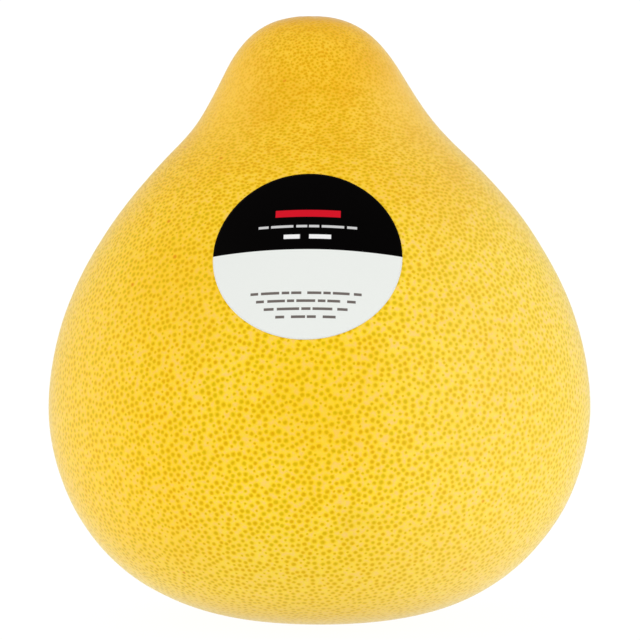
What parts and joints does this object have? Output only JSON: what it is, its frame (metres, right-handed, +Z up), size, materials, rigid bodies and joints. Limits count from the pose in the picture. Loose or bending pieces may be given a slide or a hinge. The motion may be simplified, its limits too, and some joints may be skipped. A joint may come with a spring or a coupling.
{
  "type": "pomelo",
  "caption": "Pear-shaped yellow pomelo with gland-dotted rind, a dried calyx in the hollow of its neck and a plain round paper label; it stands on its flat blossom end.",
  "frame": {"origin": "middle of the fruit's footprint box, on the surface that it stands on", "axes": "+Z up from the blossom end to the neck; the label faces -Y; +X is to the right as the label is seen"},
  "size_m": [0.15, 0.1462, 0.1668],
  "materials": {
    "rind": "satin, waxy citrus rind with darker golden oil-gland dots",
    "label_paper": "smooth coated paper, upper half printed black",
    "calyx_wood": "dry, matt, brown-green"
  },
  "bodies": {
    "root": {"fruit": "rind", "label": "label_paper", "calyx": "calyx_wood"}
  },
  "joints": []
}
